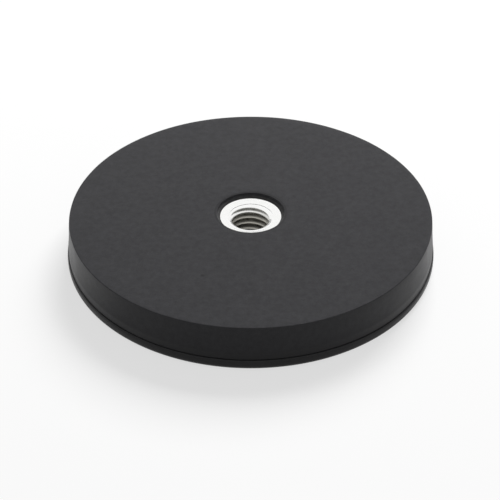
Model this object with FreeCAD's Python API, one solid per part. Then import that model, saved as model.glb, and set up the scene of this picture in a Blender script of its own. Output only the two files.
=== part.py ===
"""Rubber-coated disc magnet with a threaded bush, 66 mm across and 8.5 mm thick.

A ring of disc magnets, with their poles alternately up and down, sticks to the
underside of a round steel plate. A steel bush is held in the plate's centre, and
its flange bears under the plate to take the pull. The magnets sit in the pockets
of a moulded rubber base, whose thin skin is the face that grips, and a moulded
rubber cover goes over the plate. The two mouldings meet at the fine seam that
runs round the side, just above the lip.

Millimetres. +Z is up, out of the threaded bush. The origin is the centre of the
gripping face, on the surface that the magnet sits on.
"""
import FreeCAD, Part
import math
import os

# Overall
overall_diameter = 66.0       # across the lip and the foot of the cover's wall
overall_height = 8.5          # from the gripping face to the back face

# Rubber mouldings
base_skin = 1.0               # rubber between the magnets and what they grip
back_skin = 1.5               # rubber over the steel plate
side_skin = 3.0               # rubber from the plate's rim to the lip
seam_height = 2.2             # where the cover meets the base
seam_depth = 0.1              # the cover's foot turns in this far at the seam
foot_bevel_height = 0.4       # and this far up
lip_chamfer = 0.08            # on the lip's upper edge
lip_edge_radius = 1.0         # round under the lip
wall_draft_degrees = 6.5      # the cover's side wall leans in
back_edge_radius = 0.12       # round between the side wall and the back face
ledge_width = 0.5             # floor of the well that the bush's face lies in
ledge_rise = 0.4              # which slopes up this far to the well's wall
well_chamfer = 0.08           # at the well's mouth
moulding_gap = 0.02           # radial gap between rubber and what it surrounds
lead_in = 0.3                 # chamfer on the pockets' mouths and the pegs' ends
bush_gap = 0.1                # fine gap between the cover and the bush's neck

# Steel plate
plate_thickness = 3.0
plate_chamfer = 0.3           # on the upper rim
key_hole_diameter = 5.0       # holes that the cover's pegs go through
key_hole_count = 6
rim_notch_radius = 1.2        # half-round notches that stop the plate turning in the rubber

# Magnets, which fill a ring on the plate: 10 mm discs at this size
magnet_count = 12             # even, because their poles alternate
magnet_spacing = 2.165        # between two magnets
magnet_rim_margin = 1.5       # from a magnet's edge to the plate's rim
magnet_chamfer = 0.25
magnet_gap = 0.05             # radial clearance in a pocket

# Threaded bush, for an M8 screw
thread_diameter = 8.0
thread_pitch = 1.25
bush_diameter = 11.0
bush_sink = 0.8               # from the back face down to the bush's face
flange_width = 1.5            # the flange stands this far outside the neck, under the plate
bush_edge_chamfer = 0.08
countersink_margin = 0.25     # the countersink's mouth is this far outside the thread
countersink_degrees = 120     # the whole angle of its cone
press_gap = 0.01              # radial, where the bush is pressed into the plate

# Levels, from the gripping face up
magnet_height = overall_height - base_skin - plate_thickness - back_skin
plate_bottom = base_skin + magnet_height
plate_top = plate_bottom + plate_thickness
bush_top = overall_height - bush_sink
foot_height = seam_height + foot_bevel_height

# Radii
lip_radius = overall_diameter / 2
wall_lean = math.tan(math.radians(wall_draft_degrees))
wall_top_radius = lip_radius - wall_lean * (overall_height - foot_height)
plate_radius = lip_radius - side_skin
bush_radius = bush_diameter / 2
flange_radius = bush_radius + flange_width
thread_depth = 5 / 8 * thread_pitch * math.cos(math.radians(30))  # of a metric inside thread
thread_minor_radius = thread_diameter / 2 - thread_depth
countersink_radius = thread_diameter / 2 + countersink_margin
well_radius = bush_radius + ledge_width

# The magnets' size is what leaves their spacing on the ring that the plate's rim sets
magnet_step_degrees = 360 / magnet_count
chord_share = math.sin(math.radians(magnet_step_degrees / 2))
magnet_reach = plate_radius - magnet_rim_margin
magnet_radius = (magnet_reach * chord_share - magnet_spacing / 2) / (1 + chord_share)
magnet_ring_radius = magnet_reach - magnet_radius

# The pegs stand midway between the bush's flange and the magnets
key_hole_radius = key_hole_diameter / 2
key_ring_radius = (flange_radius + magnet_ring_radius - magnet_radius) / 2

up = FreeCAD.Vector(0, 0, 1)
centre = FreeCAD.Vector(0, 0, 0)
same = 1e-6                   # two lengths closer than this are one


def point(radius, height):
    """A point of a turned profile."""
    return FreeCAD.Vector(radius, 0, height)


def turned(points):
    """The solid that a closed profile in the XZ plane makes when it turns about Z."""
    face = Part.Face(Part.makePolygon(points + points[:1]))
    return face.revolve(centre, up, 360)


def cylinder(radius, bottom, top, x=0.0, y=0.0):
    return Part.makeCylinder(radius, top - bottom, FreeCAD.Vector(x, y, bottom), up)


def pocket(radius, x, y):
    """What is cut from the base for a piece that drops into it from above."""
    mouth = FreeCAD.Vector(x, y, plate_bottom - lead_in)
    cone = Part.makeCone(radius, radius + lead_in, lead_in, mouth, up)
    return cylinder(radius, base_skin, plate_bottom, x, y).fuse(cone)


def chamfered_disc(radius, bottom, top, chamfer, x, y):
    disc = cylinder(radius, bottom, top, x, y)
    rims = [edge for edge in disc.Edges if len(edge.Vertexes) == 1]
    return disc.makeChamfer(chamfer, rims)


def on_ring(radius, degrees):
    """The X and Y of a place on a ring about the axis."""
    return radius * math.cos(math.radians(degrees)), radius * math.sin(math.radians(degrees))


def circles_at(solid, radius, height):
    """The circular edges about the axis with that radius at that height."""
    found = []
    for edge in solid.Edges:
        if isinstance(edge.Curve, Part.Circle) and len(edge.Vertexes) == 1:
            off_centre = edge.Curve.Center - point(0, height)
            if off_centre.Length < same and abs(edge.Curve.Radius - radius) < same:
                found.append(edge)
    return found


def key_places():
    """Where the cover's pegs go through the plate."""
    for number in range(key_hole_count):
        yield on_ring(key_ring_radius, magnet_step_degrees / 2 + number * 360 / key_hole_count)


def magnet_places():
    for number in range(magnet_count):
        yield on_ring(magnet_ring_radius, number * magnet_step_degrees)


def notch_places():
    """Round the plate's rim, between the magnets."""
    for number in range(magnet_count):
        yield on_ring(plate_radius, (number + 0.5) * magnet_step_degrees)


def make_magnet(x, y):
    return chamfered_disc(magnet_radius, base_skin, plate_bottom, magnet_chamfer, x, y)


def make_plate():
    hole_radius = bush_radius + press_gap
    plate = turned([
        point(hole_radius, plate_bottom),
        point(plate_radius, plate_bottom),
        point(plate_radius, plate_top - plate_chamfer),
        point(plate_radius - plate_chamfer, plate_top),
        point(hole_radius, plate_top),
    ])
    openings = [cylinder(key_hole_radius, plate_bottom, plate_top, x, y) for x, y in key_places()]
    openings += [cylinder(rim_notch_radius, plate_bottom, plate_top, x, y) for x, y in notch_places()]
    return plate.cut(openings)


def make_bush():
    """Turned from bar: a flange under the plate and a neck up through it to the well."""
    countersink_slope = math.tan(math.radians(90 - countersink_degrees / 2))
    countersink_depth = countersink_slope * (countersink_radius - thread_minor_radius)
    return turned([
        point(thread_minor_radius, base_skin),
        point(flange_radius - bush_edge_chamfer, base_skin),
        point(flange_radius, base_skin + bush_edge_chamfer),
        point(flange_radius, plate_bottom),
        point(bush_radius, plate_bottom),
        point(bush_radius, bush_top - bush_edge_chamfer),
        point(bush_radius - bush_edge_chamfer, bush_top),
        point(countersink_radius, bush_top),
        point(thread_minor_radius, bush_top - countersink_depth),
    ])


def make_base():
    """The gripping skin with its lip, and the raised middle with a pocket for each magnet."""
    corner = lip_radius - lip_edge_radius
    bend = lip_edge_radius * math.sin(math.radians(45))
    lip_round = Part.Arc(
        point(corner, 0),
        point(corner + bend, lip_edge_radius - bend),
        point(lip_radius, lip_edge_radius),
    )
    outline = [
        point(lip_radius, lip_edge_radius),
        point(lip_radius, seam_height - lip_chamfer),
        point(lip_radius - lip_chamfer, seam_height),
        point(plate_radius, seam_height),
        point(plate_radius, plate_bottom),
        point(0, plate_bottom),
        point(0, 0),
        point(corner, 0),
    ]
    profile = Part.Wire([lip_round.toShape()] + Part.makePolygon(outline).Edges)
    base = Part.Face(profile).revolve(centre, up, 360)
    hollows = [pocket(flange_radius + moulding_gap, 0, 0)]
    hollows += [pocket(magnet_radius + magnet_gap, x, y) for x, y in magnet_places()]
    hollows += [pocket(key_hole_radius, x, y) for x, y in key_places()]
    return base.cut(hollows)


def make_cover():
    """The back, the side wall, the pegs through the plate and the ribs in its notches."""
    cavity_radius = plate_radius + moulding_gap
    throat_radius = bush_radius + bush_gap
    cover = turned([
        point(throat_radius, plate_top),
        point(cavity_radius, plate_top),
        point(cavity_radius, seam_height),
        point(lip_radius - seam_depth, seam_height),
        point(lip_radius, foot_height),
        point(wall_top_radius, overall_height),
        point(well_radius + well_chamfer, overall_height),
        point(well_radius, overall_height - well_chamfer),
        point(well_radius, bush_top + ledge_rise),
        point(throat_radius, bush_top),
    ])
    back_edge = circles_at(cover, wall_top_radius, overall_height)
    cover = cover.makeFillet(back_edge_radius, back_edge)
    root = plate_top + back_skin / 2
    peg_radius = key_hole_radius - moulding_gap
    rib_radius = rim_notch_radius - moulding_gap
    keys = [chamfered_disc(peg_radius, base_skin, root, lead_in, x, y) for x, y in key_places()]
    keys += [cylinder(rib_radius, plate_bottom, root, x, y) for x, y in notch_places()]
    return cover.fuse(keys).removeSplitter()


def save(name, shape):
    """One STEP file per piece, each a single sound solid."""
    if len(shape.Solids) != 1 or not shape.isValid():
        raise ValueError(f"{name} isn't one sound solid")
    shape.Solids[0].exportStep(f"parts/{name}.step")
    print(f"{name}: {shape.Volume:.1f} cubic mm")


os.makedirs("parts", exist_ok=True)
save("rubber_cover", make_cover())
save("rubber_base", make_base())
save("steel_back_plate", make_plate())
save("threaded_bush", make_bush())
for number, (x, y) in enumerate(magnet_places(), start=1):
    pole = "north" if number % 2 else "south"
    save(f"magnet_{number:02d}_{pole}_down", make_magnet(x, y))
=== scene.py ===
"""The looks of the rubber-coated disc magnet: moulded rubber, a threaded zinc bush, studio light."""
import bpy
import bmesh
import math
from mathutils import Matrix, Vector
from mathutils import noise as noise_of


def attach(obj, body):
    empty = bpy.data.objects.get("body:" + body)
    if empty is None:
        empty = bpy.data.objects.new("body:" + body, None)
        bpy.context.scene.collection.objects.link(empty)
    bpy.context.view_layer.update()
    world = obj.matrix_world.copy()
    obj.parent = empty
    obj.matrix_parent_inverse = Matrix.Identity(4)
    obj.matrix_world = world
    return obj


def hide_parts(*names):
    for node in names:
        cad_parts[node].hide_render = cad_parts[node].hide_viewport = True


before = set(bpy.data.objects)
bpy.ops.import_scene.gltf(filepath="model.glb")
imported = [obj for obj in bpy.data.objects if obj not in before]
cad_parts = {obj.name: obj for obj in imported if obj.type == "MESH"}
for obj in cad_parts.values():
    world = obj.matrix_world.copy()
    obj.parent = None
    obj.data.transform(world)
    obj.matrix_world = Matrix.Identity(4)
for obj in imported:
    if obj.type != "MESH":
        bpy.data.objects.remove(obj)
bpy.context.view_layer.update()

MM = 0.001


# ---------------------------------------------------------------- node helpers

NOISE_MIDDLE = 0.5                  # the values of a noise texture lie round it
MIX_COLOURS, MIX_RESULT = (6, 7), 2  # the Mix node's sockets for colours


def new_material(name):
    material = bpy.data.materials.new(name)
    material.use_nodes = True
    tree = material.node_tree
    tree.nodes.clear()
    output = tree.nodes.new("ShaderNodeOutputMaterial")
    shader = tree.nodes.new("ShaderNodeBsdfPrincipled")
    tree.links.new(shader.outputs["BSDF"], output.inputs["Surface"])
    return material, tree, shader


def place_mm(tree):
    """The point on the surface, in millimetres in the object's own frame."""
    coords = tree.nodes.new("ShaderNodeTexCoord")
    scale = tree.nodes.new("ShaderNodeVectorMath")
    scale.operation = "SCALE"
    scale.inputs["Scale"].default_value = 1 / MM
    tree.links.new(coords.outputs["Object"], scale.inputs[0])
    return scale.outputs["Vector"]


def axes(tree, vector):
    """A vector's X, Y and Z."""
    node = tree.nodes.new("ShaderNodeSeparateXYZ")
    tree.links.new(vector, node.inputs[0])
    return node.outputs


def noise(tree, place, size_mm, detail=3.0, roughness=0.55, stretch=(1, 1, 1)):
    """Noise whose blotches are about size_mm across."""
    mapping = tree.nodes.new("ShaderNodeMapping")
    mapping.inputs["Scale"].default_value = stretch
    tree.links.new(place, mapping.inputs["Vector"])
    texture = tree.nodes.new("ShaderNodeTexNoise")
    texture.inputs["Scale"].default_value = 1.0 / size_mm
    texture.inputs["Detail"].default_value = detail
    texture.inputs["Roughness"].default_value = roughness
    tree.links.new(mapping.outputs["Vector"], texture.inputs["Vector"])
    return texture.outputs["Fac"]


def remap(tree, value, low, high, to_low, to_high):
    """Turns one range into another, and stops at its ends."""
    node = tree.nodes.new("ShaderNodeMapRange")
    node.inputs["From Min"].default_value = low
    node.inputs["From Max"].default_value = high
    node.inputs["To Min"].default_value = to_low
    node.inputs["To Max"].default_value = to_high
    tree.links.new(value, node.inputs["Value"])
    return node.outputs["Result"]


def spread(tree, noise_value, reach, to_low, to_high):
    """Spreads what lies within reach of a noise's middle over a range."""
    return remap(tree, noise_value, NOISE_MIDDLE - reach, NOISE_MIDDLE + reach, to_low, to_high)


def math_node(tree, operation, *values):
    node = tree.nodes.new("ShaderNodeMath")
    node.operation = operation
    for socket, value in zip(node.inputs, values):
        if isinstance(value, (int, float)):
            socket.default_value = value
        else:
            tree.links.new(value, socket)
    return node.outputs["Value"]


def weighted(tree, first, second, share):
    """The sum of two values, of which the second has that share."""
    return math_node(tree, "ADD", math_node(tree, "MULTIPLY", first, 1 - share),
                     math_node(tree, "MULTIPLY", second, share))


def blend_colours(tree, factor, first, second):
    node = tree.nodes.new("ShaderNodeMix")
    node.data_type = "RGBA"
    tree.links.new(factor, node.inputs["Factor"])
    for index, value in zip(MIX_COLOURS, (first, second)):
        if isinstance(value, tuple):
            node.inputs[index].default_value = (*value, 1.0)
        else:
            tree.links.new(value, node.inputs[index])
    return node.outputs[MIX_RESULT]


def bump(tree, height, depth_mm, previous=None):
    node = tree.nodes.new("ShaderNodeBump")
    node.inputs["Strength"].default_value = 1.0
    node.inputs["Distance"].default_value = depth_mm * MM
    tree.links.new(height, node.inputs["Height"])
    if previous is not None:
        tree.links.new(previous, node.inputs["Normal"])
    return node.outputs["Normal"]


def axis_distance(tree, place):
    outputs = axes(tree, place)
    squares = [math_node(tree, "POWER", math_node(tree, "ABSOLUTE", outputs[axis]), 2.0)
               for axis in ("X", "Y")]
    return math_node(tree, "SQRT", math_node(tree, "ADD", *squares))


# ------------------------------------------------------------ details of rubber
# Millimetres, except where a comment says otherwise

BLOTCH, WAVE, MOTTLE, GRAIN = 8.0, 6.0, 1.1, 0.2    # how large they are
GRAIN_IN_TONE, GRAIN_IN_GLOSS = 0.4, 0.3            # its share beside the mottle and the blotches
TONE_REACH, GLOSS_REACH, LEDGE_LIGHT_REACH = 0.14, 0.15, 0.2   # of noise values that are told apart
WAVE_DEPTH, GRAIN_DEPTH, PORE_DEPTH = 0.02, 0.005, 0.006
RUBBER_GLOSS_SPREAD = 0.05          # of the roughness, up and down
RUBBER_SPECULAR = 0.19
PORES = (0.5, 0.16, 0.35)           # spacing, size, and the share of places that have one
DUST = (3.1, 0.14, 0.22)
# The dust specks' colour, also used as painted light on the ledge
DUST_AND_LEDGE_LIGHT_COLOUR = (0.085, 0.085, 0.082)
PAINTED_PIT_SHADE = 0.5                     # painted shade in the pores, a share of the rubber's darker colour, also used for the cover's dark spot and painted shade
# How strongly the pores' painted shade, the dust specks, and the cover's spot and painted shade show
PORE_WEIGHT, DUST_WEIGHT, SPOT_AND_SHADE_WEIGHT = 0.8, 0.55, 0.85
LEDGE_LIGHT_WEIGHTS = (0.1, 0.6)           # of the painted light on the ledge, at its weakest and strongest

SPECK_CORE, RING_CORE, SPOT_CORE = 0.5, 0.4, 0.3    # the share of each that is solid
SPOT_PLACE = (-8.14, -18.40, 8.5)   # a dark spot in the back
SPOT_RADIUS = 0.45
# Painted shade round the well's mouth: the ring's radius, half width, and how dark it gets
MOUTH_SHADE_RADIUS, MOUTH_SHADE_REACH, MOUTH_SHADE_WEIGHT = 6.34, 0.26, 0.75
SEAM_SHADE_TOP, SEAM_SHADE_LOW, SEAM_SHADE_WEIGHT = 4.2, 2.6, 0.75     # painted shade that darkens the wall towards the seam: the heights where it sets in and is full, and how dark it gets
LEDGE_REACH = 6.0                   # from the axis


def specks(tree, place, spacing_mm, size_mm, share):
    """1 in small round specks, one in only that share of the cells, and 0 elsewhere."""
    cells = tree.nodes.new("ShaderNodeTexVoronoi")
    cells.inputs["Scale"].default_value = 1.0 / spacing_mm
    tree.links.new(place, cells.inputs["Vector"])
    chance = tree.nodes.new("ShaderNodeSeparateColor")
    tree.links.new(cells.outputs["Color"], chance.inputs["Color"])
    chosen = math_node(tree, "LESS_THAN", chance.outputs["Red"], share)
    reach = size_mm / spacing_mm / 2
    inside = remap(tree, cells.outputs["Distance"], SPECK_CORE * reach, reach, 1.0, 0.0)
    return math_node(tree, "MULTIPLY", chosen, inside)


def near_ring(tree, place, radius, half_width):
    """1 on a ring about the axis, fading to 0 that far in and out."""
    away = math_node(tree, "SUBTRACT", axis_distance(tree, place), radius)
    away = math_node(tree, "ABSOLUTE", away)
    return remap(tree, away, RING_CORE * half_width, half_width, 1.0, 0.0)


def dark_spot(tree, place):
    away = tree.nodes.new("ShaderNodeVectorMath")
    away.operation = "DISTANCE"
    away.inputs[1].default_value = SPOT_PLACE
    tree.links.new(place, away.inputs[0])
    return remap(tree, away.outputs["Value"], SPOT_CORE * SPOT_RADIUS, SPOT_RADIUS, 1.0, 0.0)


def cover_spot_and_painted_shade(tree, place):
    """1 in a dark spot, and less in two places of painted shade: a ring round the well's mouth, and a band
    above the seam that darkens towards it."""
    # Painted shade: a darker ring round the well's mouth
    mouth = near_ring(tree, place, MOUTH_SHADE_RADIUS, MOUTH_SHADE_REACH)
    mouth = math_node(tree, "MULTIPLY", mouth, MOUTH_SHADE_WEIGHT)
    # Painted shade: the wall darker towards the seam
    seam_shade = remap(tree, axes(tree, place)["Z"], SEAM_SHADE_TOP, SEAM_SHADE_LOW, 0.0, SEAM_SHADE_WEIGHT)
    return math_node(tree, "MAXIMUM", dark_spot(tree, place), math_node(tree, "MAXIMUM", mouth, seam_shade))


def ledge_painted_light(tree, place):
    """1 on the ledge at the foot of the well, which is painted lighter, as painted light."""
    return math_node(tree, "LESS_THAN", axis_distance(tree, place), LEDGE_REACH)


def moulded_rubber(name, dark, light, roughness, spot_and_shade=None, film=None):
    """Black rubber out of a spark-eroded mould: fine matte grain with pores in it, painted darker as
    shade, soft waves, blotches of mould release that shine a little, and a few specks of dust."""
    material, tree, shader = new_material(name)
    place = place_mm(tree)
    blotches = noise(tree, place, BLOTCH, detail=4.0, roughness=0.6)
    mottle = noise(tree, place, MOTTLE, detail=3.0, roughness=0.6)
    grain = noise(tree, place, GRAIN, detail=2.0, roughness=0.7)
    waves = noise(tree, place, WAVE, detail=1.0)
    pores = specks(tree, place, *PORES)
    dust = specks(tree, place, *DUST)
    tone = weighted(tree, mottle, grain, GRAIN_IN_TONE)
    colour = blend_colours(tree, spread(tree, tone, TONE_REACH, 0.0, 1.0), dark, light)
    spot_and_shade_colour = tuple(PAINTED_PIT_SHADE * channel for channel in dark)
    # Painted shade: the pores darker, as shade in the pits
    colour = blend_colours(tree, math_node(tree, "MULTIPLY", pores, PORE_WEIGHT), colour, spot_and_shade_colour)
    colour = blend_colours(tree, math_node(tree, "MULTIPLY", dust, DUST_WEIGHT), colour, DUST_AND_LEDGE_LIGHT_COLOUR)
    if spot_and_shade:
        # The cover's dark spot and its painted shade, in the darker colour
        spot_and_shade_share = math_node(tree, "MULTIPLY", spot_and_shade(tree, place), SPOT_AND_SHADE_WEIGHT)
        colour = blend_colours(tree, spot_and_shade_share, colour, spot_and_shade_colour)
    if film:
        # Painted light: the ledge made lighter, mottled
        ledge_light_share = math_node(tree, "MULTIPLY", film(tree, place),
                          spread(tree, mottle, LEDGE_LIGHT_REACH, *LEDGE_LIGHT_WEIGHTS))
        colour = blend_colours(tree, ledge_light_share, colour, DUST_AND_LEDGE_LIGHT_COLOUR)
    tree.links.new(colour, shader.inputs["Base Color"])
    gloss = weighted(tree, blotches, grain, GRAIN_IN_GLOSS)
    tree.links.new(spread(tree, gloss, GLOSS_REACH, roughness + RUBBER_GLOSS_SPREAD,
                          roughness - RUBBER_GLOSS_SPREAD), shader.inputs["Roughness"])
    shader.inputs["Specular IOR Level"].default_value = RUBBER_SPECULAR
    normal = bump(tree, waves, WAVE_DEPTH)
    normal = bump(tree, grain, GRAIN_DEPTH, normal)
    normal = bump(tree, math_node(tree, "SUBTRACT", dust, pores), PORE_DEPTH, normal)
    tree.links.new(normal, shader.inputs["Normal"])
    return material


# ------------------------------------------------------------- details of metal
# Millimetres, except where a comment says otherwise

RING, RING_DEPTH = 0.09, 0.0008     # the marks of the turning tool
RING_CLIMB = 0.6                    # how fast they follow each other upward, beside outward
MILK, MILK_REACH = 1.2, 0.2         # cloudy plating, and the noise values that are told apart
FINE, FINE_DEPTH = 0.09, 0.0008
TURNED_REACH, TURNED_SPREAD = 0.15, 0.06
BORE_REACH = 4.15                   # from the axis
BORE_SHADE_HEIGHTS = (6.6, 5.4)           # the heights where the bore's painted shade sets in, and where it is full
BORE_DULLNESS = 0.15                # added roughness down the bore

PATCH, PATCH_REACH = 2.5, 0.15      # in the nickel
PATCH_GLOSS_REACH, PATCH_SPREAD = 0.2, 0.05
PEEL, PEEL_DEPTH = 0.35, 0.002

STREAK, STREAK_STRETCH, STREAK_DEPTH = 0.6, (0.04, 1, 1), 0.004     # in the steel, along X
SCALE, STEEL_REACH, STEEL_SPREAD = 7.0, 0.15, 0.08


def turned_metal(name, colour, shade, bore_shade_colour, roughness):
    """Turned and plated: rings about the axis from the tool's feed, and a faintly uneven plating. Down the
    bore the colour is painted darker, as painted shade, and the threads are rougher."""
    material, tree, shader = new_material(name)
    place = place_mm(tree)
    shader.inputs["Metallic"].default_value = 1.0
    height = axes(tree, place)["Z"]
    radius = axis_distance(tree, place)
    along = math_node(tree, "ADD", radius, math_node(tree, "MULTIPLY", height, RING_CLIMB))
    feed = tree.nodes.new("ShaderNodeCombineXYZ")
    tree.links.new(along, feed.inputs["X"])
    rings = noise(tree, feed.outputs[0], RING, detail=2.0, roughness=0.7)
    milky = noise(tree, place, MILK, detail=4.0)
    fine = noise(tree, place, FINE, detail=2.0)
    plating = blend_colours(tree, spread(tree, milky, MILK_REACH, 0.0, 1.0), shade, colour)
    in_bore = math_node(tree, "LESS_THAN", radius, BORE_REACH)
    # Painted shade down the bore: darker colour, and more roughness besides
    dull = math_node(tree, "MULTIPLY", in_bore, remap(tree, height, *BORE_SHADE_HEIGHTS, 0.0, 1.0))
    tree.links.new(blend_colours(tree, dull, plating, bore_shade_colour), shader.inputs["Base Color"])
    wear = spread(tree, weighted(tree, rings, milky, 0.5), TURNED_REACH,
                  roughness - TURNED_SPREAD, roughness + TURNED_SPREAD)
    tree.links.new(math_node(tree, "ADD", wear, math_node(tree, "MULTIPLY", dull, BORE_DULLNESS)),
                   shader.inputs["Roughness"])
    normal = bump(tree, rings, RING_DEPTH)
    normal = bump(tree, fine, FINE_DEPTH, normal)
    tree.links.new(normal, shader.inputs["Normal"])
    return material


def plated_metal(name, colour, shade, roughness):
    """Bright plating over a ground blank: fine orange peel and small dull patches."""
    material, tree, shader = new_material(name)
    place = place_mm(tree)
    shader.inputs["Metallic"].default_value = 1.0
    patches = noise(tree, place, PATCH, detail=4.0)
    peel = noise(tree, place, PEEL, detail=2.0)
    tree.links.new(blend_colours(tree, spread(tree, patches, PATCH_REACH, 0.0, 1.0), shade, colour),
                   shader.inputs["Base Color"])
    tree.links.new(spread(tree, patches, PATCH_GLOSS_REACH, roughness + PATCH_SPREAD,
                          roughness - PATCH_SPREAD), shader.inputs["Roughness"])
    tree.links.new(bump(tree, peel, PEEL_DEPTH), shader.inputs["Normal"])
    return material


def rolled_steel(name, colour, shade, roughness):
    """Bare pressed steel: rolling streaks along one way, and a thin film of scale."""
    material, tree, shader = new_material(name)
    place = place_mm(tree)
    shader.inputs["Metallic"].default_value = 1.0
    streaks = noise(tree, place, STREAK, detail=4.0, roughness=0.65, stretch=STREAK_STRETCH)
    scale_film = noise(tree, place, SCALE, detail=5.0)
    tone = weighted(tree, streaks, scale_film, 0.5)
    tree.links.new(blend_colours(tree, spread(tree, tone, STEEL_REACH, 0.0, 1.0), shade, colour),
                   shader.inputs["Base Color"])
    tree.links.new(spread(tree, tone, STEEL_REACH, roughness + STEEL_SPREAD, roughness - STEEL_SPREAD),
                   shader.inputs["Roughness"])
    tree.links.new(bump(tree, streaks, STREAK_DEPTH), shader.inputs["Normal"])
    return material


# ------------------------------------------------------------------- materials

cover_rubber = moulded_rubber("cover_rubber_grain", dark=(0.0218, 0.0216, 0.0238),
                              light=(0.0342, 0.0339, 0.0371), roughness=0.38,
                              spot_and_shade=cover_spot_and_painted_shade, film=ledge_painted_light)
base_rubber = moulded_rubber("base_rubber_grain", dark=(0.0212, 0.0210, 0.0221),
                             light=(0.0332, 0.0329, 0.0345), roughness=0.39)
zinc = turned_metal("zinc_plate", colour=(0.95, 0.95, 0.94), shade=(0.92, 0.92, 0.905),
                    bore_shade_colour=(0.38, 0.37, 0.335), roughness=0.20)
nickel = plated_metal("nickel_plate", colour=(0.64, 0.60, 0.54), shade=(0.56, 0.53, 0.48),
                      roughness=0.16)
steel = rolled_steel("rolled_steel", colour=(0.46, 0.46, 0.47), shade=(0.34, 0.34, 0.35),
                     roughness=0.38)


def dress(node, material):
    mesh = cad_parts[node].data
    mesh.materials.clear()
    mesh.materials.append(material)


for node_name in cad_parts:
    if node_name.startswith("magnet_"):
        dress(node_name, nickel)
dress("steel_back_plate", steel)


# ---------------------------------------------------------------------- sizes
# Millimetres, and heights from the gripping face up. The part's own, so that each piece stands
# where its solid does, but for the outer forms, which follow the photograph more finely

# What pieces share
TOP = 8.5
SKIN = 1.0                          # of rubber, under the magnets
PLATE_BOTTOM, PLATE_TOP = 4.0, 7.0
PLATE_RADIUS = 30.0
BUSH_TOP = 7.7
BUSH_RADIUS = 5.5
RUBBER_GAP = 0.02                   # between a moulding and what it goes round or into
LEAD_IN = 0.3                       # chamfer on the pegs' ends and the pockets' mouths

# Lip and seam
LIP_RADIUS = 33.0
LIP_TOP = 2.07
LIP_ROUND = (0.14, 0.8)             # how far the lip's upper edge rounds in, and down
LIP_EDGE_RADIUS = 1.0
SEAM_GAP = 0.10                     # the open crack at the seam
SEAM_CRACK = 0.6                    # how far in it runs
SEAM_CLOSED_GAP = 0.02              # and between the mouldings further in
SEAM_REACH = 0.6                    # how far above and below the seam its straying is felt
# Where the seam runs low: degrees about the axis, over how many degrees, and how far
SEAM_DIPS = ((-27, 24, 0.26), (-160, 20, 0.12))
SEAM_TILT = (0.05, 0.9)             # how far it leans, and round to where, in radians
# Its waves: how high, how many round the seam, and where in the noise they are
SEAM_WAVES, SEAM_RIPPLES = (0.03, 2.2, 7.3), (0.012, 9, 1.9)

# The cover's outside
SEAM_RADIUS = 32.735                # its foot, at the seam
FOOT_BREAK = (32.745, 3.3)          # radius and height where the foot starts to lean in
FOOT_BENDS = ((32.742, 2.8), (32.747, 3.55))    # of the curves below and above that
FOOT_HEIGHT = 2.6                   # the wall's line, drawn on down to here,
FOOT_RADIUS = 32.84                 # would be this far out,
FOOT_END = 3.9                      # but it ends here
TOP_RADIUS = 32.34                  # of that line, at the back's height
WALL_SAG = 0.05                     # the wall is this hollow halfway up
BROW_DEPTH, BROW_REACH = 0.05, 0.5  # how far its top leans in besides, and over what height
WALL_STEPS, WALL_CROWDING = 20, 1.7     # its points crowd towards its top
BACK_EDGE_RADIUS = 0.17
SHRINK_DEPTH = 0.012                # how uneven the back and the wall are
SHRINK_SCALE = (0.12, 0.12, 0.25)   # of the noise that makes them so, along X, Y and Z
WELL_MARGIN, WALL_MARGIN = 1.0, 0.5     # round the well that stays even, and what counts as wall
FADE_OUT, FADE_UP = 3.0, 0.8        # how far the unevenness takes to set in
LEVEL = 1e-4                        # what is this near the back's height is the back

# The cover's inside, and the well
KEY_ROOT = PLATE_TOP + 0.75         # where the pegs and ribs end in the back
WELL_RADIUS = 6.05
WELL_EDGE = 0.1
GROOVE_LOW, GROOVE_HIGH, GROOVE_DEPTH = 8.1, 8.3, 0.1   # under the well's mouth
LEDGE_TOP = BUSH_TOP + 0.4          # where the well's wall starts to curve into the ledge
WELL_FOOT_BEND = BUSH_TOP + 0.25
WELL_FOOT_END = (WELL_RADIUS - 0.12, BUSH_TOP + 0.18)   # and where that curve ends
THROAT_RADIUS = BUSH_RADIUS + 0.1
LEDGE_END = (THROAT_RADIUS + 0.04, BUSH_TOP + 0.02)     # the ledge's inner edge
THROAT_BEND, THROAT_END = BUSH_TOP - 0.02, BUSH_TOP - 0.06      # heights of the round below it

# Bush
BUSH_EDGE = 0.05
FLANGE_RADIUS = 7.0
FACE_START = (BUSH_RADIUS - BUSH_EDGE - 0.02, BUSH_TOP - 0.002)     # where the dished face starts,
FACE_BEND = (4.75, BUSH_TOP - 0.15)
FACE_DIP = (4.35, 7.44)             # dips to,
BURR_BEND = (4.15, 7.39)
COUNTERSINK_MOUTH = (3.98, 7.445)   # and rises to a slight burr, at the countersink
BURR_FALL = (0.04, 0.01)            # how far in and down the burr's far side ends
COUNTERSINK_SLOPE = math.tan(math.radians(30))

# Thread. Shares are of its pitch
THREAD_RADIUS = 4.0
ROUGH_BORE = THREAD_RADIUS - 0.8    # before it is cut
THREAD_PITCH = 1.25
MINOR_RADIUS = THREAD_RADIUS - 5 / 8 * THREAD_PITCH * math.cos(math.radians(30))
CREST_SHARE = 0.25
FLANK_SHARE = 0.3125                # that each flank takes
CREST_ROUND = (0.11, 0.12)          # that its rounded corner takes on the crest and on the flank
ROOT_ROUND = 0.03                   # and the root's corner on each side
RUN_OUT_START, RUN_OUT_SLOPE = 7.0, 1.8     # from what height the groove fades out, and how fast
RUN_OUT_RADIUS = THREAD_RADIUS - 1  # and down to what radius, which is less than the rough bore's
THREAD_START = 0.46                 # turns by which the thread is wound on, as in the photograph
TAP_OVERRUN = 0.7                   # how far the tap reaches out of the bush at both ends

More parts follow.
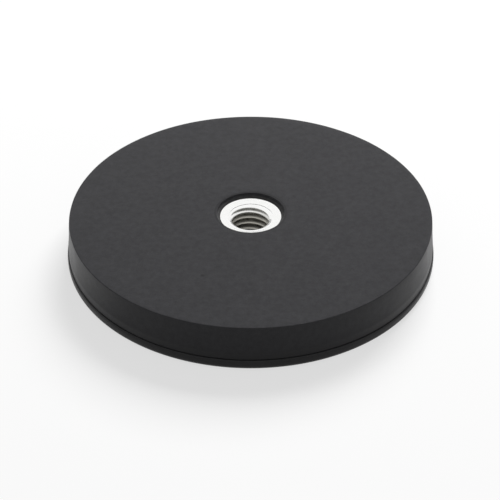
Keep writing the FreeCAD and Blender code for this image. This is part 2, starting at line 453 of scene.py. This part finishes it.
# Rings of magnets, keys and notches, each with where it starts, in steps about the axis
MAGNET_RING, MAGNET_POCKET, MAGNETS, MAGNET_OFFSET = 23.5, 5.05, 12, 0
KEY_RING, KEY_RADIUS, KEYS, KEY_OFFSET = 12.75, 2.5, 6, 0.25
NOTCH_RADIUS, NOTCH_OFFSET = 1.2, 0.5

# How finely pieces are turned, and the least angle of an edge that stays sharp, in degrees
RUBBER_SEGMENTS, BUSH_SEGMENTS, TAP_SEGMENTS = 384, 192, 144
FLANGE_SEGMENTS, MAGNET_SEGMENTS, KEY_SEGMENTS, RIB_SEGMENTS = 96, 64, 48, 32
RUBBER_SHARP, BUSH_SHARP = 35, 28


# ----------------------------------------------------------------- mesh making

ON_AXIS = 1e-9                      # a radius below this is on the axis
FRACTAL = (0.6, 2.0, 3)             # its dimension, the step between octaves, and their number
MERGE, DEGENERATE = 1e-5, 1e-6      # mm between points, and the length of an edge


def arc(centre, radius, start, end, steps):
    """Points of a round in a turned profile. Degrees, 0 outward and 90 up."""
    points = []
    for i in range(steps + 1):
        angle = math.radians(start + (end - start) * i / steps)
        points.append((centre[0] + radius * math.cos(angle), centre[1] + radius * math.sin(angle)))
    return points


def bezier(first, bend, last, steps):
    points = []
    for i in range(steps + 1):
        t = i / steps
        a, b, c = (1 - t) ** 2, 2 * t * (1 - t), t ** 2
        points.append(tuple(a * p + b * q + c * r for p, q, r in zip(first, bend, last)))
    return points


def line(first, last, steps):
    """Points between two points, without either."""
    return [tuple(p + (q - p) * i / steps for p, q in zip(first, last)) for i in range(1, steps)]


def lathe(name, profile, segments, centre=(0, 0)):
    """The closed body that a profile makes when it turns about an upright axis. It may start and
    end on the axis; if it doesn't, it closes on itself."""
    bm = bmesh.new()
    rings = []
    for radius, height in profile:
        if radius < ON_AXIS:
            rings.append([bm.verts.new((centre[0], centre[1], height))])
            continue
        ring = []
        for i in range(segments):
            angle = 2 * math.pi * i / segments
            ring.append(bm.verts.new((centre[0] + radius * math.cos(angle),
                                      centre[1] + radius * math.sin(angle), height)))
        rings.append(ring)
    pairs = list(zip(rings, rings[1:]))
    if len(rings[0]) > 1:
        pairs.append((rings[-1], rings[0]))
    for first, second in pairs:
        for i in range(segments):
            j = (i + 1) % segments
            corners = [first[i % len(first)], first[j % len(first)],
                       second[j % len(second)], second[i % len(second)]]
            corners = [v for k, v in enumerate(corners) if v not in corners[:k]]
            if len(corners) > 2:
                bm.faces.new(corners)
    bmesh.ops.recalc_face_normals(bm, faces=bm.faces)
    return new_object(name, bm)


def new_object(name, bm):
    mesh = bpy.data.meshes.new(name)
    bm.to_mesh(mesh)
    bm.free()
    piece = bpy.data.objects.new(name, mesh)
    bpy.context.scene.collection.objects.link(piece)
    return piece


def combine(piece, tools, operation):
    """Joins or cuts with other bodies, exactly, and removes them."""
    group = bpy.data.collections.new("tools")
    for tool in tools:
        bpy.context.scene.collection.objects.unlink(tool)
        group.objects.link(tool)
    modifier = piece.modifiers.new("combine", "BOOLEAN")
    modifier.operation = operation
    modifier.solver = "EXACT"
    modifier.operand_type = "COLLECTION"
    modifier.collection = group
    bake(piece)
    for tool in tools:
        bpy.data.objects.remove(tool)
    bpy.data.collections.remove(group)


def bake(piece):
    """Applies a piece's modifiers."""
    graph = bpy.context.evaluated_depsgraph_get()
    mesh = bpy.data.meshes.new_from_object(piece.evaluated_get(graph))
    old = piece.data
    piece.modifiers.clear()
    piece.data = mesh
    bpy.data.meshes.remove(old)
    mesh.name = piece.name


def finish_piece(piece, node, material, sharp_degrees):
    """From millimetres to metres, shaded, and in the place of its CAD node."""
    mesh = piece.data
    for vertex in mesh.vertices:
        vertex.co *= MM
    mesh.shade_smooth()
    mesh.set_sharp_from_angle(angle=math.radians(sharp_degrees))
    mesh.materials.clear()
    mesh.materials.append(material)
    mesh.update()
    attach(piece, "root")
    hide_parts(node)


def ring_places(radius, count, offset):
    for i in range(count):
        angle = 2 * math.pi * (i + offset) / count
        yield radius * math.cos(angle), radius * math.sin(angle)


def fractal(place):
    return noise_of.fractal(place, *FRACTAL)


# ---------------------------------------------------------------- rubber cover

def wall_radius(height):
    """The side wall leans in, most of all at its top, and is a little hollow."""
    share = (TOP - height) / (TOP - FOOT_HEIGHT)
    leaning = TOP_RADIUS + (FOOT_RADIUS - TOP_RADIUS) * share - 4 * WALL_SAG * share * (1 - share)
    return leaning - BROW_DEPTH * math.exp((height - TOP) / BROW_REACH)


def back_edge_points():
    """The round between the wall and the back. It starts square to the wall's lean."""
    height = TOP - BACK_EDGE_RADIUS
    step = 0.01
    lean = math.atan2(wall_radius(height - step) - wall_radius(height), step)
    centre = (wall_radius(height) - BACK_EDGE_RADIUS * math.cos(lean), height)
    return arc(centre, BACK_EDGE_RADIUS, math.degrees(lean), 90, steps=8)


def foot_points():
    """The cover's foot, from the seam up to the wall."""
    below, above = FOOT_BENDS
    foot = bezier((SEAM_RADIUS, LIP_TOP + SEAM_GAP), below, FOOT_BREAK, steps=9)
    return foot + bezier(FOOT_BREAK, above, (wall_radius(FOOT_END), FOOT_END), steps=6)[1:]


def wall_points(top):
    points = []
    for step in range(1, WALL_STEPS):
        height = top - (top - FOOT_END) * (1 - step / WALL_STEPS) ** WALL_CROWDING
        points.append((wall_radius(height), height))
    return points


def groove_points():
    """The fine groove under the well's mouth, without its ends."""
    bend = (WELL_RADIUS + 2 * GROOVE_DEPTH, (GROOVE_LOW + GROOVE_HIGH) / 2)
    return bezier((WELL_RADIUS, GROOVE_HIGH), bend, (WELL_RADIUS, GROOVE_LOW), steps=6)[1:-1]


def cover_profile():
    cavity = PLATE_RADIUS + RUBBER_GAP
    ceiling = LIP_TOP + SEAM_CLOSED_GAP
    back_edge = back_edge_points()
    well_mouth = arc((WELL_RADIUS + WELL_EDGE, TOP - WELL_EDGE), WELL_EDGE, 90, 180, steps=5)
    well_foot = bezier((WELL_RADIUS, LEDGE_TOP), (WELL_RADIUS, WELL_FOOT_BEND), WELL_FOOT_END, steps=5)
    profile = [(THROAT_RADIUS, PLATE_TOP), (cavity, PLATE_TOP), (cavity, ceiling)]
    profile += [(SEAM_RADIUS - SEAM_CRACK, ceiling)]
    profile += foot_points()
    profile += wall_points(back_edge[0][1])
    profile += back_edge
    profile += line(back_edge[-1], well_mouth[0], steps=24)
    profile += well_mouth
    profile += groove_points()
    profile += well_foot
    profile += line(well_foot[-1], LEDGE_END, steps=5)
    profile += bezier(LEDGE_END, (THROAT_RADIUS, THROAT_BEND), (THROAT_RADIUS, THROAT_END), steps=2)
    return profile


def seam_wave(angle, height, count, level):
    return height * fractal(Vector((count * math.cos(angle), count * math.sin(angle), level)))


def seam_lift(angle):
    """How far the seam strays from level, as two hand-trimmed mouldings leave it."""
    tilt, tilt_turn = SEAM_TILT
    lift = tilt * math.sin(angle + tilt_turn)
    lift += seam_wave(angle, *SEAM_WAVES) + seam_wave(angle, *SEAM_RIPPLES)
    for middle, width, depth in SEAM_DIPS:
        away = (math.degrees(angle) - middle + 180) % 360 - 180
        lift -= depth * math.exp(-(away / width) ** 2)
    return lift


def near_seam(height):
    """1 at the seam, fading to 0 above and below."""
    share = max(0.0, 1 - abs(height - LIP_TOP) / SEAM_REACH)
    return share * share * (3 - 2 * share)


def stir_seam(piece):
    for vertex in piece.data.vertices:
        x, y, z = vertex.co
        share = near_seam(z)
        if share > 0:
            vertex.co.z = z + share * seam_lift(math.atan2(y, x))


def shrinkage(place):
    """How far rubber has drawn in from the mould there."""
    scaled = Vector([at * scale for at, scale in zip(place, SHRINK_SCALE)])
    return SHRINK_DEPTH * max(0.0, 1 + fractal(scaled))


def is_outside(radius, height):
    """Whether a point is on the back or the wall, and not in the foot, the well or the cavity."""
    if height < FOOT_END or radius < WELL_RADIUS + WELL_MARGIN:
        return False
    return height >= TOP - LEVEL or radius >= wall_radius(TOP) - WALL_MARGIN


def soften_faces(piece):
    """The back and the wall are a little uneven, because rubber shrinks unevenly as it cures. Each
    point draws straight in, so the edge between them stays smooth."""
    normals = [vertex.normal.copy() for vertex in piece.data.vertices]
    for vertex, normal in zip(piece.data.vertices, normals):
        radius = math.hypot(vertex.co.x, vertex.co.y)
        height = vertex.co.z
        if is_outside(radius, height):
            from_well = (radius - WELL_RADIUS - WELL_MARGIN) / FADE_OUT
            fade = min(1.0, from_well, (height - FOOT_END) / FADE_UP)
            vertex.co -= normal * fade * shrinkage(vertex.co)


def make_cover():
    cover = lathe("moulded_cover", cover_profile(), RUBBER_SEGMENTS)
    soften_faces(cover)
    stir_seam(cover)
    peg = KEY_RADIUS - RUBBER_GAP
    rib = NOTCH_RADIUS - RUBBER_GAP
    keys = []
    for place in ring_places(KEY_RING, KEYS, KEY_OFFSET):
        profile = [(0, SKIN), (peg - LEAD_IN, SKIN), (peg, SKIN + LEAD_IN), (peg, KEY_ROOT), (0, KEY_ROOT)]
        keys.append(lathe("peg", profile, KEY_SEGMENTS, place))
    for place in ring_places(PLATE_RADIUS, MAGNETS, NOTCH_OFFSET):
        profile = [(0, PLATE_BOTTOM), (rib, PLATE_BOTTOM), (rib, KEY_ROOT), (0, KEY_ROOT)]
        keys.append(lathe("rib", profile, RIB_SEGMENTS, place))
    combine(cover, keys, "UNION")
    finish_piece(cover, "rubber_cover", cover_rubber, RUBBER_SHARP)


# ----------------------------------------------------------------- rubber base

def lip_top_points():
    """The lip's upper edge, a quarter of an ellipse."""
    inward, down = LIP_ROUND
    corner = (LIP_RADIUS - inward, LIP_TOP - down)
    return [(corner[0] + inward * x, corner[1] + down * y) for x, y in arc((0, 0), 1, 0, 90, steps=8)]


def base_profile():
    lip_centre = (LIP_RADIUS - LIP_EDGE_RADIUS, LIP_EDGE_RADIUS)
    lip_round = arc(lip_centre, LIP_EDGE_RADIUS, -90, 0, steps=14)
    lip_top = lip_top_points()
    profile = [(0, 0)]
    profile += line((0, 0), lip_round[0], steps=12)
    profile += lip_round
    profile += line(lip_round[-1], lip_top[0], steps=4)
    profile += lip_top
    profile += [(PLATE_RADIUS, LIP_TOP), (PLATE_RADIUS, PLATE_BOTTOM), (0, PLATE_BOTTOM)]
    return profile


def pocket(radius, place, segments):
    """What is cut for a piece that drops in from above, with a chamfered mouth."""
    profile = [(0, SKIN), (radius, SKIN), (radius, PLATE_BOTTOM - LEAD_IN),
               (radius + 2 * LEAD_IN, PLATE_BOTTOM + LEAD_IN), (0, PLATE_BOTTOM + LEAD_IN)]
    return lathe("pocket", profile, segments, place)


def make_base():
    base = lathe("moulded_base", base_profile(), RUBBER_SEGMENTS)
    stir_seam(base)
    pockets = [pocket(FLANGE_RADIUS + RUBBER_GAP, (0, 0), FLANGE_SEGMENTS)]
    for place in ring_places(MAGNET_RING, MAGNETS, MAGNET_OFFSET):
        pockets.append(pocket(MAGNET_POCKET, place, MAGNET_SEGMENTS))
    for place in ring_places(KEY_RING, KEYS, KEY_OFFSET):
        pockets.append(pocket(KEY_RADIUS, place, KEY_SEGMENTS))
    combine(base, pockets, "DIFFERENCE")
    finish_piece(base, "rubber_base", base_rubber, RUBBER_SHARP)


# --------------------------------------------------------------- threaded bush

def bush_profile():
    mouth, level = COUNTERSINK_MOUTH
    fall_in, fall_down = BURR_FALL
    return [
        (ROUGH_BORE, SKIN),
        (FLANGE_RADIUS - BUSH_EDGE, SKIN),
        (FLANGE_RADIUS, SKIN + BUSH_EDGE),
        (FLANGE_RADIUS, PLATE_BOTTOM),
        (BUSH_RADIUS, PLATE_BOTTOM),
        *arc((BUSH_RADIUS - BUSH_EDGE, BUSH_TOP - BUSH_EDGE), BUSH_EDGE, 0, 90, steps=4),
        *bezier(FACE_START, FACE_BEND, FACE_DIP, steps=8),
        *bezier(FACE_DIP, BURR_BEND, COUNTERSINK_MOUTH, steps=6)[1:],
        (mouth - fall_in, level - fall_down),
        (ROUGH_BORE, level - COUNTERSINK_SLOPE * (mouth - ROUGH_BORE)),
    ]


def thread_section():
    """One pitch of the metric inside thread: the share of the pitch, and the radius there. The
    crest sits at the minor radius with rounded corners, and the root is a little round too."""
    slope = (THREAD_RADIUS - MINOR_RADIUS) / FLANK_SHARE
    on_crest, on_flank = CREST_ROUND
    crest_corner = bezier((CREST_SHARE - on_crest, MINOR_RADIUS), (CREST_SHARE, MINOR_RADIUS),
                          (CREST_SHARE + on_flank, MINOR_RADIUS + on_flank * slope), steps=5)
    root = CREST_SHARE + FLANK_SHARE
    root_corner = bezier((root - ROOT_ROUND, THREAD_RADIUS - ROOT_ROUND * slope),
                         (root, THREAD_RADIUS), (root + ROOT_ROUND, THREAD_RADIUS), steps=2)
    rising = crest_corner + root_corner
    falling = [(1 + CREST_SHARE - share, radius) for share, radius in reversed(rising)]
    return rising + falling


def radius_in(section, phase):
    """The thread's radius at a phase, in turns."""
    start = section[0][0]
    share = start + (phase - start) % 1.0
    known = section + [(start + 1.0, section[0][1])]
    for (a, ra), (b, rb) in zip(known, known[1:]):
        if share <= b:
            return ra + (rb - ra) * (share - a) / max(b - a, ON_AXIS)


def run_out(height):
    """The most that the thread's groove may reach from the axis: it fades out in the countersink,
    so that it leaves no nick in the face."""
    return max(RUN_OUT_RADIUS, THREAD_RADIUS - RUN_OUT_SLOPE * max(0.0, height - RUN_OUT_START))


def make_tap(low, high):
    """The body that the thread leaves empty: rows that follow the helix, cut off level at both
    ends, with a cap on each."""
    section = thread_section()
    rows = []
    for turn in range(math.floor(low / THREAD_PITCH) - 2, math.ceil(high / THREAD_PITCH) + 2):
        rows += [(turn + share, radius) for share, radius in section]
    bm = bmesh.new()
    grid = []
    for i in range(TAP_SEGMENTS + 1):
        turned = i / TAP_SEGMENTS
        across, along = math.cos(2 * math.pi * turned), math.sin(2 * math.pi * turned)
        column = []
        for turns, radius in rows:
            height = (turns + turned + THREAD_START) * THREAD_PITCH
            level = min(max(height, low), high)
            if level != height:
                radius = radius_in(section, level / THREAD_PITCH - turned - THREAD_START)
            radius = min(radius, run_out(level))
            column.append(bm.verts.new((radius * across, radius * along, level)))
        grid.append(column)
    for first, second in zip(grid, grid[1:]):
        for k in range(len(rows) - 1):
            bm.faces.new((first[k], second[k], second[k + 1], first[k + 1]))
    bmesh.ops.remove_doubles(bm, verts=bm.verts, dist=MERGE)
    bmesh.ops.dissolve_degenerate(bm, edges=bm.edges, dist=DEGENERATE)
    bmesh.ops.holes_fill(bm, edges=[e for e in bm.edges if e.is_boundary], sides=0)
    bmesh.ops.recalc_face_normals(bm, faces=bm.faces)
    return new_object("tap", bm)


def make_bush():
    bush = lathe("threaded_insert", bush_profile(), BUSH_SEGMENTS)
    combine(bush, [make_tap(SKIN - TAP_OVERRUN, BUSH_TOP + TAP_OVERRUN)], "DIFFERENCE")
    finish_piece(bush, "threaded_bush", zinc, BUSH_SHARP)


make_cover()
make_base()
make_bush()


# ----------------------------------------------------------------------- stage

FLOOR_SIZE = 6.0                    # metres
FLOOR_COLOUR = 0.35
FLOOR_GLOW = 0.65
WORLD_LEVEL = 0.20                  # of the white surround, as a light


def seen_by_eye(tree):
    """1 for camera, glossy and transmission rays, 0 for the rest."""
    path = tree.nodes.new("ShaderNodeLightPath")
    either = math_node(tree, "MAXIMUM", path.outputs["Is Camera Ray"], path.outputs["Is Glossy Ray"])
    return math_node(tree, "MAXIMUM", either, path.outputs["Is Transmission Ray"])


def floor_material():
    """Part of the floor's white is a glow that only the eye and reflections get, so that the
    object isn't lit by more than the lamps."""
    material = bpy.data.materials.new("pale_floor")
    material.use_nodes = True
    tree = material.node_tree
    tree.nodes.clear()
    output = tree.nodes.new("ShaderNodeOutputMaterial")
    diffuse = tree.nodes.new("ShaderNodeBsdfDiffuse")
    diffuse.inputs["Color"].default_value = (FLOOR_COLOUR, FLOOR_COLOUR, FLOOR_COLOUR, 1)
    glow = tree.nodes.new("ShaderNodeEmission")
    tree.links.new(math_node(tree, "MULTIPLY", seen_by_eye(tree), FLOOR_GLOW), glow.inputs["Strength"])
    add = tree.nodes.new("ShaderNodeAddShader")
    tree.links.new(diffuse.outputs["BSDF"], add.inputs[0])
    tree.links.new(glow.outputs["Emission"], add.inputs[1])
    tree.links.new(add.outputs["Shader"], output.inputs["Surface"])
    return material


def make_floor():
    """A pale floor that keeps the object's shadow."""
    half = FLOOR_SIZE / 2
    bm = bmesh.new()
    corners = [bm.verts.new((x * half, y * half, 0)) for x, y in ((-1, -1), (1, -1), (1, 1), (-1, 1))]
    bm.faces.new(corners)
    floor = new_object("floor", bm)
    floor.data.materials.append(floor_material())


def make_world():
    world = bpy.data.worlds.new("studio")
    bpy.context.scene.world = world
    world.use_nodes = True
    tree = world.node_tree
    tree.nodes.clear()
    output = tree.nodes.new("ShaderNodeOutputWorld")
    background = tree.nodes.new("ShaderNodeBackground")
    background.inputs["Color"].default_value = (1, 1, 1, 1)
    tree.links.new(remap(tree, seen_by_eye(tree), 0.0, 1.0, WORLD_LEVEL, 1.0),
                   background.inputs["Strength"])
    tree.links.new(background.outputs["Background"], output.inputs["Surface"])


def face_origin(thing):
    thing.rotation_euler = (-thing.location).to_track_quat("-Z", "Y").to_euler()


def softbox(name, azimuth, elevation, distance, size, power):
    """A square lamp that faces the object. Reflections show the white surround in its place."""
    data = bpy.data.lights.new(name, "AREA")
    data.shape = "SQUARE"
    data.size = size
    data.energy = power
    lamp = bpy.data.objects.new(name, data)
    turn, rise = math.radians(azimuth), math.radians(elevation)
    flat = distance * math.cos(rise)
    lamp.location = (flat * math.cos(turn), flat * math.sin(turn), distance * math.sin(rise))
    face_origin(lamp)
    lamp.visible_glossy = False
    bpy.context.scene.collection.objects.link(lamp)


make_world()
make_floor()
softbox("key_softbox", azimuth=71, elevation=38, distance=0.95, size=0.5, power=12.0)


# ---------------------------------------------------------------------- camera

PHOTO_WIDTH = 500                   # pixels
CAMERA_DISTANCE = 0.27597           # metres, from the origin
CAMERA_ELEVATION = math.radians(36.915)
OFF_CENTRE = (0.67, 0.32)           # pixels that the origin lies right of and below the middle
SENSOR_WIDTH, LENS = 36.0, 109.27   # millimetres
CLIP_START = 0.01


def make_camera():
    data = bpy.data.cameras.new("camera")
    data.sensor_width = SENSOR_WIDTH
    data.lens = LENS
    data.clip_start = CLIP_START
    data.shift_x = -OFF_CENTRE[0] / PHOTO_WIDTH
    data.shift_y = OFF_CENTRE[1] / PHOTO_WIDTH
    camera = bpy.data.objects.new("camera", data)
    camera.location = (0.0, -CAMERA_DISTANCE * math.cos(CAMERA_ELEVATION),
                       CAMERA_DISTANCE * math.sin(CAMERA_ELEVATION))
    face_origin(camera)
    bpy.context.scene.collection.objects.link(camera)
    bpy.context.scene.camera = camera


make_camera()
bpy.context.scene.view_settings.view_transform = "Standard"
